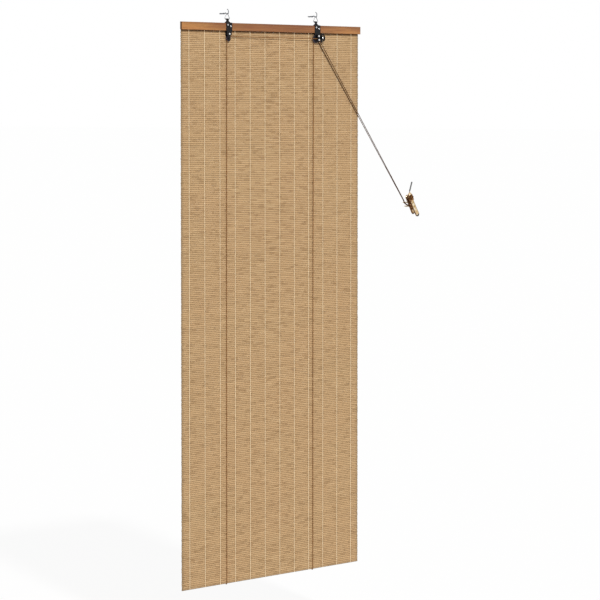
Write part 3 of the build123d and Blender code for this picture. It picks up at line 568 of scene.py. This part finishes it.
def modify(piece, kind, **settings):
    """Adds a modifier, sets it and applies it."""
    modifier = piece.modifiers.new(kind.lower(), kind)
    for name, value in settings.items():
        setattr(modifier, name, value)
    bpy.ops.object.modifier_apply(modifier=modifier.name)


def repeat(piece, count, offset):
    """Copies the mesh in a row."""
    modify(
        piece, "ARRAY", count=count, use_relative_offset=False, use_constant_offset=True,
        constant_offset_displace=offset)


def paint(piece, material):
    """Gives a piece one finish."""
    piece.data.materials.clear()
    piece.data.materials.append(material)


def finish_piece(piece, material, body, replaced=()):
    """Last steps of a new piece: finish, body and the nodes that it stands for."""
    paint(piece, material)
    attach(piece, body)
    if replaced:
        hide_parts(*replaced)
    clear_selection()


def cord_tube(name, route, radius, steps=12):
    """Mesh tube along a smooth curve with the route's points as its control points."""
    clear_selection()
    line = bpy.data.curves.new(name, "CURVE")
    line.dimensions = "3D"
    line.resolution_u = steps
    line.bevel_depth = radius
    line.bevel_resolution = 3
    line.use_fill_caps = True
    spline = line.splines.new("NURBS")
    spline.points.add(len(route) - 1)
    for point, place in zip(spline.points, route):
        point.co = (*place, 1.0)
    spline.order_u = 3
    spline.use_endpoint_u = True
    tube = bpy.data.objects.new(name, line)
    bpy.context.collection.objects.link(tube)
    bpy.context.view_layer.objects.active = tube
    tube.select_set(True)
    bpy.ops.object.convert(target="MESH")
    tube = bpy.context.active_object
    bpy.ops.object.shade_smooth_by_angle(angle=math.radians(40))
    return tube


# Routes, turns and threads

def in_metres(route):
    """A route's points in metres."""
    return [tuple(value * MM for value in place) for place in route]


def cleat_line():
    """Centre of the cleat on the wall, and the direction of its bars."""
    mounts = {mount["name"]: mount for mount in frame["record"]["mounts"]}
    centre = Vector(mounts["cleat_screws"]["pos_m"])
    return centre, Vector((math.sin(CLEAT_TILT), 0, -math.cos(CLEAT_TILT)))


def on_cleat(along, across, out):
    """Place in metres from the cleat's centre."""
    centre, way = cleat_line()
    side = Vector((-way.z, 0, way.x))
    return centre + (along * way + across * side - out * Vector((0, 1, 0))) * MM


def rounded(angle, half_a, half_b):
    """Point of a rounded rectangle, seen from its middle at an angle."""
    a, b = math.cos(angle), math.sin(angle)
    return half_a * math.copysign(abs(a) ** 0.6, a), half_b * math.copysign(abs(b) ** 0.6, b)


def neck_turns():
    """Two turns up the neck and two down again over them."""
    route = []
    for k in range(4 * TURN_POINTS + 1):
        turn = k / TURN_POINTS
        outer = min(max(turn - 2, 0) / 0.25, 1) * NECK_LAYER
        along, across = rounded(
            math.pi + turn * math.tau, NECK_HALF_LENGTH + outer, NECK_HALF_WIDTH + outer)
        out = NECK_FIRST_OUT + NECK_RISE * (turn if turn < 2 else 4 - turn)
        route.append((along, across, out))
    return route


def arm_turns():
    """Close turns round the upper horn, which end in the stretch to the sleeve."""
    route = []
    for k in range(ARM_TURNS * TURN_POINTS + 1):
        turn = k / TURN_POINTS
        across, up = rounded(math.radians(270) + turn * math.tau, ARM_HALF_WIDTH, ARM_HALF_DEPTH)
        along = ARM_FIRST_ALONG - ARM_STEP * turn
        middle = HORN_MIDDLE + HORN_RISE * (along / HORN_HALF_LENGTH) ** 2
        route.append((along, across, middle + up))
    return route[:-1] + TO_SLEEVE


def screw_thread(name, place, core, pitch, turns):
    """Ridge that winds from a place into the wall, with closed ends."""
    ridge = start(name, bpy.ops.mesh.primitive_circle_add, vertices=6, radius=THREAD_RIDGE * MM,
                  fill_type="NOTHING", location=(core * MM, 0, 0))
    settle()
    modify(ridge, "SCREW", axis="Y", screw_offset=pitch * MM, iterations=turns, steps=20, render_steps=20,
           use_merge_vertices=False, use_normal_calculate=True)
    choose(ridge, "edges", lambda e: e.is_boundary)
    bpy.ops.mesh.fill_holes(sides=0)
    choose(ridge, "faces", lambda f: True)
    bpy.ops.mesh.normals_make_consistent(inside=False)
    object_mode()
    ridge.location = place
    settle()
    bpy.ops.object.shade_smooth_by_angle(angle=math.radians(60))
    return ridge


# Pieces

class BLIND_OT_reed_mat(bpy.types.Operator):
    """Splints: one is shaped, copied down the mat and bent out of true like split bamboo"""

    bl_idname = "blind.reed_mat"
    bl_label = "Reed mat"

    def execute(self, context):
        sizes = context.scene.blind_sizes
        low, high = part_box("reed_mat")
        count = round((high.z - low.z) / sizes.reed_pitch)
        pitch = (high.z - low.z) / count
        squeeze = 40.0  # the splints are shaped short, so that the waves come out long
        reed = start("reeds", bpy.ops.mesh.primitive_cube_add, size=1,
                     location=(0, (low.y + high.y) / 2, high.z - pitch / 2))
        reed.scale = ((high.x - low.x) / squeeze, high.y - low.y - 0.2 * MM, pitch - sizes.reed_gap)
        settle()
        choose(reed, "edges", edge_runs(0))
        bpy.ops.mesh.bevel(offset=sizes.reed_rounding, segments=2, affect="EDGES")
        choose(reed, "edges", edge_runs(0))
        bpy.ops.mesh.subdivide(number_cuts=6)
        object_mode()
        repeat(reed, count, (0, 0, -pitch))
        for axis, grain in (("Z", 5.5 * MM), ("Y", 4.0 * MM)):
            wave = bpy.data.textures.new("reed_wave_" + axis, "CLOUDS")
            wave.noise_scale = grain
            strength = sizes.reed_wave * (1.5 if axis == "Z" else 1.0)
            modify(reed, "DISPLACE", texture=wave, texture_coords="LOCAL", direction=axis,
                   mid_level=0.5, strength=strength)
        choose(reed, "verts", lambda v: abs(v.co.x) > 0.499 * (high.x - low.x) / squeeze)
        bpy.ops.transform.vertex_random(offset=0.03 * MM, uniform=0.5, seed=4)
        object_mode()
        reed.scale = (squeeze, 1, 1)
        settle()
        bpy.ops.object.shade_smooth_by_angle(angle=math.radians(50))
        spacing = (high.x - low.x) / sizes.thread_count
        finish = split_bamboo(tuple(context.scene.blind_colours.reed), pitch, high.z, high.x, spacing)
        finish_piece(reed, finish, "blind", ["reed_mat"])
        return {"FINISHED"}


class BLIND_OT_warp_threads(bpy.types.Operator):
    """Warp: one stitch is bent over a splint and copied down and across, at the front and the back"""

    bl_idname = "blind.warp_threads"
    bl_label = "Warp threads"

    def execute(self, context):
        sizes = context.scene.blind_sizes
        low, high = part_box("reed_mat")
        count = round((high.z - low.z) / sizes.reed_pitch)
        pitch = (high.z - low.z) / count
        spacing = (high.x - low.x) / sizes.thread_count
        finish = cotton_warp(tuple(context.scene.blind_colours.warp))
        for name, face, outward in (("front", low.y, -1), ("back", high.y, 1)):
            stitch = start("warp_threads_" + name, bpy.ops.mesh.primitive_cylinder_add, vertices=6,
                           radius=0.5, depth=1, location=(low.x + spacing / 2, face, high.z - pitch / 2))
            stitch.scale = (sizes.thread_width, sizes.thread_thickness, pitch * STITCH_OVERLAP)
            settle()
            choose(stitch, "edges", edge_runs(2))
            bpy.ops.mesh.subdivide(number_cuts=1)
            middle = high.z - pitch / 2
            choose(stitch, "verts", lambda v: abs(v.co.z - middle) < pitch / 4)
            bpy.ops.transform.translate(value=(0, outward * STITCH_BULGE * MM, 0))
            choose(stitch, "verts", lambda v: v.co.z > middle + pitch / 4)
            bpy.ops.transform.translate(value=(-STITCH_LEAN * MM, -outward * STITCH_TUCK * MM, 0))
            choose(stitch, "verts", lambda v: v.co.z < middle - pitch / 4)
            bpy.ops.transform.translate(value=(STITCH_LEAN * MM, -outward * STITCH_TUCK * MM, 0))
            object_mode()
            repeat(stitch, count, (0, 0, -pitch))
            repeat(stitch, sizes.thread_count, (spacing, 0, 0))
            bpy.ops.object.shade_smooth_by_angle(angle=math.radians(70))
            replaced = ["warp_threads"] if name == "front" else []
            finish_piece(stitch, finish, "blind", replaced)
        return {"FINISHED"}


class BLIND_OT_rail(bpy.types.Operator):
    """Finish of the head rail and of the batten behind the mat"""

    bl_idname = "blind.rail"
    bl_label = "Head rail"

    def execute(self, context):
        finish = stained_wood(tuple(context.scene.blind_colours.rail))
        for node in ("head_rail", "rear_batten"):
            paint(frame["nodes"][node], finish)
        return {"FINISHED"}


class BLIND_OT_lift_cords(bpy.types.Operator):
    """Two lift cords: down the back from the staples, under the mat, up the front and over their wheels"""

    bl_idname = "blind.lift_cords"
    bl_label = "Lift cords"

    def execute(self, context):
        radius = context.scene.blind_sizes.cord_radius
        finish = braided_cord("braided_lift_cord", tuple(context.scene.blind_colours.lift_cord))
        for side, route in LIFT_ROUTES.items():
            cord = cord_tube("lift_cord_" + side + "_braid", in_metres(route), radius)
            finish_piece(cord, finish, "blind", ["lift_cord_" + side])
        return {"FINISHED"}


class BLIND_OT_pull_cords(bpy.types.Operator):
    """Two pull cords: they hang from the blind as far as the mat's edge, and bend from there to the cleat"""

    bl_idname = "blind.pull_cords"
    bl_label = "Pull cords"

    def execute(self, context):
        radius = context.scene.blind_sizes.cord_radius
        finish = braided_cord("braided_pull_cord", tuple(context.scene.blind_colours.pull_cord))
        past_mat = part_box("reed_mat")[1].x + BEND_PAST_MAT * MM
        for side, route in PULL_ROUTES.items():
            top, first, *turns = (Vector(place) for place in in_metres(route))
            edge = top.lerp(first, (past_mat - top.x) / (first.x - top.x))
            halfway = edge.lerp(first, 0.5)
            near = first.lerp(top, STILL_AT_CLEAT * MM / (first - top).length)
            lengths = {
                "upper": [top, top.lerp(edge, 0.5), edge],
                "middle": [edge, edge.lerp(halfway, 0.5), halfway],
                "lower": [halfway, halfway.lerp(near, 0.5), near, first, *turns],
            }
            cords = {}
            for name, points in lengths.items():
                cords[name] = cord_tube(
                    "pull_cord_" + side + "_" + name, points, radius, PULL_CORD_STEPS)
                paint(cords[name], finish)
            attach(cords["upper"], "blind")
            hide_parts("pull_cord_" + side)
            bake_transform(cords["middle"])
            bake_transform(cords["lower"])
            clear_selection()
        return {"FINISHED"}


class BLIND_OT_cleat_cord(bpy.types.Operator):
    """Cord wound round the cleat's neck and upper arm, and crossed over its face"""

    bl_idname = "blind.cleat_cord"
    bl_label = "Cleat cord"

    def execute(self, context):
        radius = context.scene.blind_sizes.cord_radius
        brown = scaled(context.scene.blind_colours.lift_cord, 0.72)
        # The cleat's cord gets painted highlights and painted shade in patches
        finish = braided_cord("braided_cleat_cord", brown, painted_light=0.8)
        routes = {"neck": neck_turns(), "arm": arm_turns(), "cross": CROSS_TURNS}
        for name, route in routes.items():
            cord = cord_tube("cleat_" + name + "_turns", [on_cleat(*place) for place in route], radius, 4)
            finish_piece(cord, finish, "wall", ["cleat_cord_turns"] if name == "neck" else [])
        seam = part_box("cord_tail")[0].z + SLEEVE_RISE * MM
        sleeve = shrunk_sleeve(tuple(context.scene.blind_colours.sleeve), brown, seam)
        paint(frame["nodes"]["cord_tail"], sleeve)
        return {"FINISHED"}


class BLIND_OT_screw_threads(bpy.types.Operator):
    """Rolled threads on the screws that go into the wall: one turned ridge each"""

    bl_idname = "blind.screw_threads"
    bl_label = "Screw threads"

    def execute(self, context):
        hook = plated_wire("zinc_plated_hook_thread", linear("#74777B"), 0.36)
        plated = plated_wire("zinc_plated_screw_thread", linear("#B9BABC"), 0.3)
        for side, sign in SIDES.items():
            x = sign * HOOK_SPACING / 2 * MM
            thread = screw_thread("screw_hook_thread_" + side, (x, HOOK_THREAD_START * MM, 0), *HOOK_THREAD)
            finish_piece(thread, hook, "wall")
        for name, along in (("upper", -CLEAT_SCREW_OFFSET), ("lower", CLEAT_SCREW_OFFSET)):
            place = on_cleat(along, 0.0, CLEAT_THREAD_START)
            thread = screw_thread("cleat_screw_thread_" + name, place, *CLEAT_THREAD)
            finish_piece(thread, plated, "wall")
        return {"FINISHED"}


class BLIND_OT_bracket_screws(bpy.types.Operator):
    """Pan-head screws with a cross recess, two in each bracket"""

    bl_idname = "blind.bracket_screws"
    bl_label = "Bracket screws"

    def execute(self, context):
        finish = plated_wire("bright_zinc_screw", linear("#F2F2F2"), 0.3)
        for side in SIDES:
            node = "bracket_screws_" + side
            low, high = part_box(node)
            head = HEAD_RADIUS * MM
            first = Vector((low.x + head, low.y, high.z - head))
            screw = start(node + "_heads", bpy.ops.mesh.primitive_cylinder_add, vertices=32, radius=head,
                          depth=HEAD_DEPTH * MM, location=(first.x, first.y + HEAD_DEPTH / 2 * MM, first.z),
                          rotation=(math.radians(90), 0, 0))
            settle()
            front = first.y + 0.1 * MM
            choose(screw, "edges", lambda e: all(v.co.y < front for v in e.verts))
            bpy.ops.mesh.bevel(offset=HEAD_ROUNDING * MM, segments=4, affect="EDGES")
            back = first.y + (HEAD_DEPTH - 0.1) * MM
            choose(screw, "faces", lambda f: all(v.co.y > back for v in f.verts))
            bpy.ops.mesh.inset(thickness=head - SHANK_RADIUS * MM)
            bpy.ops.mesh.extrude_region_move(
                TRANSFORM_OT_translate={"value": (0, high.y - low.y - HEAD_DEPTH * MM, 0)})
            object_mode()
            for turn in (0, math.radians(90)):
                slot = start("recess", bpy.ops.mesh.primitive_cube_add, size=1,
                             location=first, rotation=(0, turn + math.radians(RECESS_TURN), 0))
                slot.scale = [side_length * MM for side_length in RECESS]
                settle()
                clear_selection()
                bpy.context.view_layer.objects.active = screw
                screw.select_set(True)
                modify(screw, "BOOLEAN", operation="DIFFERENCE", object=slot, solver="EXACT")
                bpy.data.objects.remove(slot)
            step = Vector((high.x - head, low.y, low.z + head)) - first
            repeat(screw, 2, step)
            bpy.ops.object.shade_smooth_by_angle(angle=math.radians(35))
            finish_piece(screw, finish, "blind", [node])
        return {"FINISHED"}


class BLIND_OT_hardware(bpy.types.Operator):
    """Finishes of the hooks, rings, brackets, rivets, wheels, screws and cleat"""

    bl_idname = "blind.hardware"
    bl_label = "Hardware"

    def execute(self, context):
        wire = plated_wire("zinc_plated_hook", linear("#74777B"), 0.36)
        ring = plated_wire("zinc_plated_ring", linear("#8F9194"), 0.28)
        plated = plated_wire("zinc_plated_screw", linear("#B9BABC"), 0.3)
        bright = plated_wire("nickel_plated_rivet", linear("#FAFAFA"), 0.22)
        enamel = black_enamel()
        centre, way = cleat_line()
        finishes = {
            wire: ("screw_hook_left", "screw_hook_right"),
            ring: ("hanger_ring_left", "hanger_ring_right"),
            plated: ("cord_staples",),
            plated_wire("yellow_zinc_screw", linear("#C9AE7A"), 0.3): ("cleat_screws",),
            bright: ("pulley_rivet", "lock_wheel_stud", "lock_roller_axle", "lock_guide_rivet",
                     "lock_cam_rivet"),
            enamel: ("bracket_left", "bracket_right", "pulley_cheek", "lock_front_cheek", "lock_cam",
                     "lock_guide", "pulley_spacer", "pulley_axle"),
            moulded_nylon(): ("pulley_wheel", "lock_wheel", "lock_roller"),
            polished_brass(centre, way): ("cleat",),
        }
        for finish, names in finishes.items():
            for name in names:
                paint(frame["nodes"][name], finish)
        return {"FINISHED"}


def ray_kinds(tree):
    """Sockets that are 1 for the camera's own rays, and for rays that metal or glass sends on."""
    paths = add_node(tree, "LightPath")
    mirrored = add_node(
        tree, "Math", (paths["Is Glossy Ray"], paths["Is Transmission Ray"]), operation="MAXIMUM")[0]
    return paths["Is Camera Ray"], mirrored


class BLIND_OT_stage(bpy.types.Operator):
    """Floor, lights, background and the camera at the photograph's angle"""

    bl_idname = "blind.stage"
    bl_label = "Stage"

    def execute(self, context):
        floor = start(
            "floor", bpy.ops.mesh.primitive_plane_add, size=FLOOR_SIZE, location=(0, 0, FLOOR_LEVEL))
        # White paper, matt: it keeps the shadow, and its glow hides its edge against the background
        material, tree, shader = new_material("pale_floor")
        fill(tree, shader, {
            "Base Color": linear("#FAFAF9"), "Roughness": 0.9, "Specular IOR Level": 0.0})
        camera_ray, mirrored = ray_kinds(tree)
        glow = add_node(tree, "Emission", {"Color": (1, 1, 1, 1), "Strength": 1.0})[0]
        seen = add_node(tree, "Math", (camera_ray, FLOOR_WHITE), operation="MULTIPLY")[0]
        share = add_node(tree, "Math", (seen, mirrored), operation="MAXIMUM")[0]
        surface = add_node(tree, "MixShader", (share, shader.outputs[0], glow))[0]
        fill(tree, tree.nodes["Material Output"], {"Surface": surface})
        paint(floor, material)
        for place, strength, spread in SUNS:
            bpy.ops.object.light_add(type="SUN", location=place)
            sun = context.object
            sun.data.energy = strength
            sun.data.angle = math.radians(spread)
            sun.rotation_euler = (-Vector(place)).to_track_quat("-Z", "Y").to_euler()
        world = bpy.data.worlds.new("studio")
        context.scene.world = world
        world.use_nodes = True
        tree = world.node_tree
        seen = add_node(tree, "Math", ray_kinds(tree), operation="MAXIMUM")[0]
        strength = add_node(tree, "MapRange", (seen, 0, 1, WORLD_LEVEL, 1.0))[0]
        fill(tree, tree.nodes["Background"], {"Color": (1, 1, 1, 1), "Strength": strength})
        turn = [math.radians(angle) for angle in CAMERA_TURN]
        bpy.ops.object.camera_add(location=CAMERA_PLACE, rotation=turn)
        camera = context.object
        camera.data.sensor_width = SENSOR_WIDTH
        camera.data.lens = CAMERA_LENS
        context.scene.camera = camera
        context.scene.view_settings.view_transform = "Standard"
        return {"FINISHED"}


OPERATORS = (
    BLIND_OT_reed_mat,
    BLIND_OT_warp_threads,
    BLIND_OT_rail,
    BLIND_OT_lift_cords,
    BLIND_OT_pull_cords,
    BLIND_OT_cleat_cord,
    BLIND_OT_screw_threads,
    BLIND_OT_bracket_screws,
    BLIND_OT_hardware,
    BLIND_OT_stage,
)


class BLIND_PT_sidebar(bpy.types.Panel):
    """Lists the steps in the order that they run"""

    bl_idname = "BLIND_PT_sidebar"
    bl_label = "Bamboo blind"
    bl_space_type = "VIEW_3D"
    bl_region_type = "UI"
    bl_category = "Blind"

    def draw(self, context):
        for operator in OPERATORS:
            self.layout.operator(operator.bl_idname)
        for group in (context.scene.blind_sizes, context.scene.blind_colours):
            for name in group.__annotations__:
                self.layout.prop(group, name)


CLASSES = (BlindSizes, BlindColours, *OPERATORS, BLIND_PT_sidebar)


def register():
    """Makes the steps, the panel and the sizes known to Blender."""
    for each in CLASSES:
        bpy.utils.register_class(each)
    bpy.types.Scene.blind_sizes = bpy.props.PointerProperty(type=BlindSizes)
    bpy.types.Scene.blind_colours = bpy.props.PointerProperty(type=BlindColours)


def unregister():
    """Takes them away again."""
    del bpy.types.Scene.blind_colours
    del bpy.types.Scene.blind_sizes
    for each in reversed(CLASSES):
        bpy.utils.unregister_class(each)


def main():
    """Runs the steps in order."""
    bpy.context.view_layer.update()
    register()
    for operator in OPERATORS:
        group, name = operator.bl_idname.split(".")
        getattr(getattr(bpy.ops, group), name)()


if __name__ == "__main__":
    main()
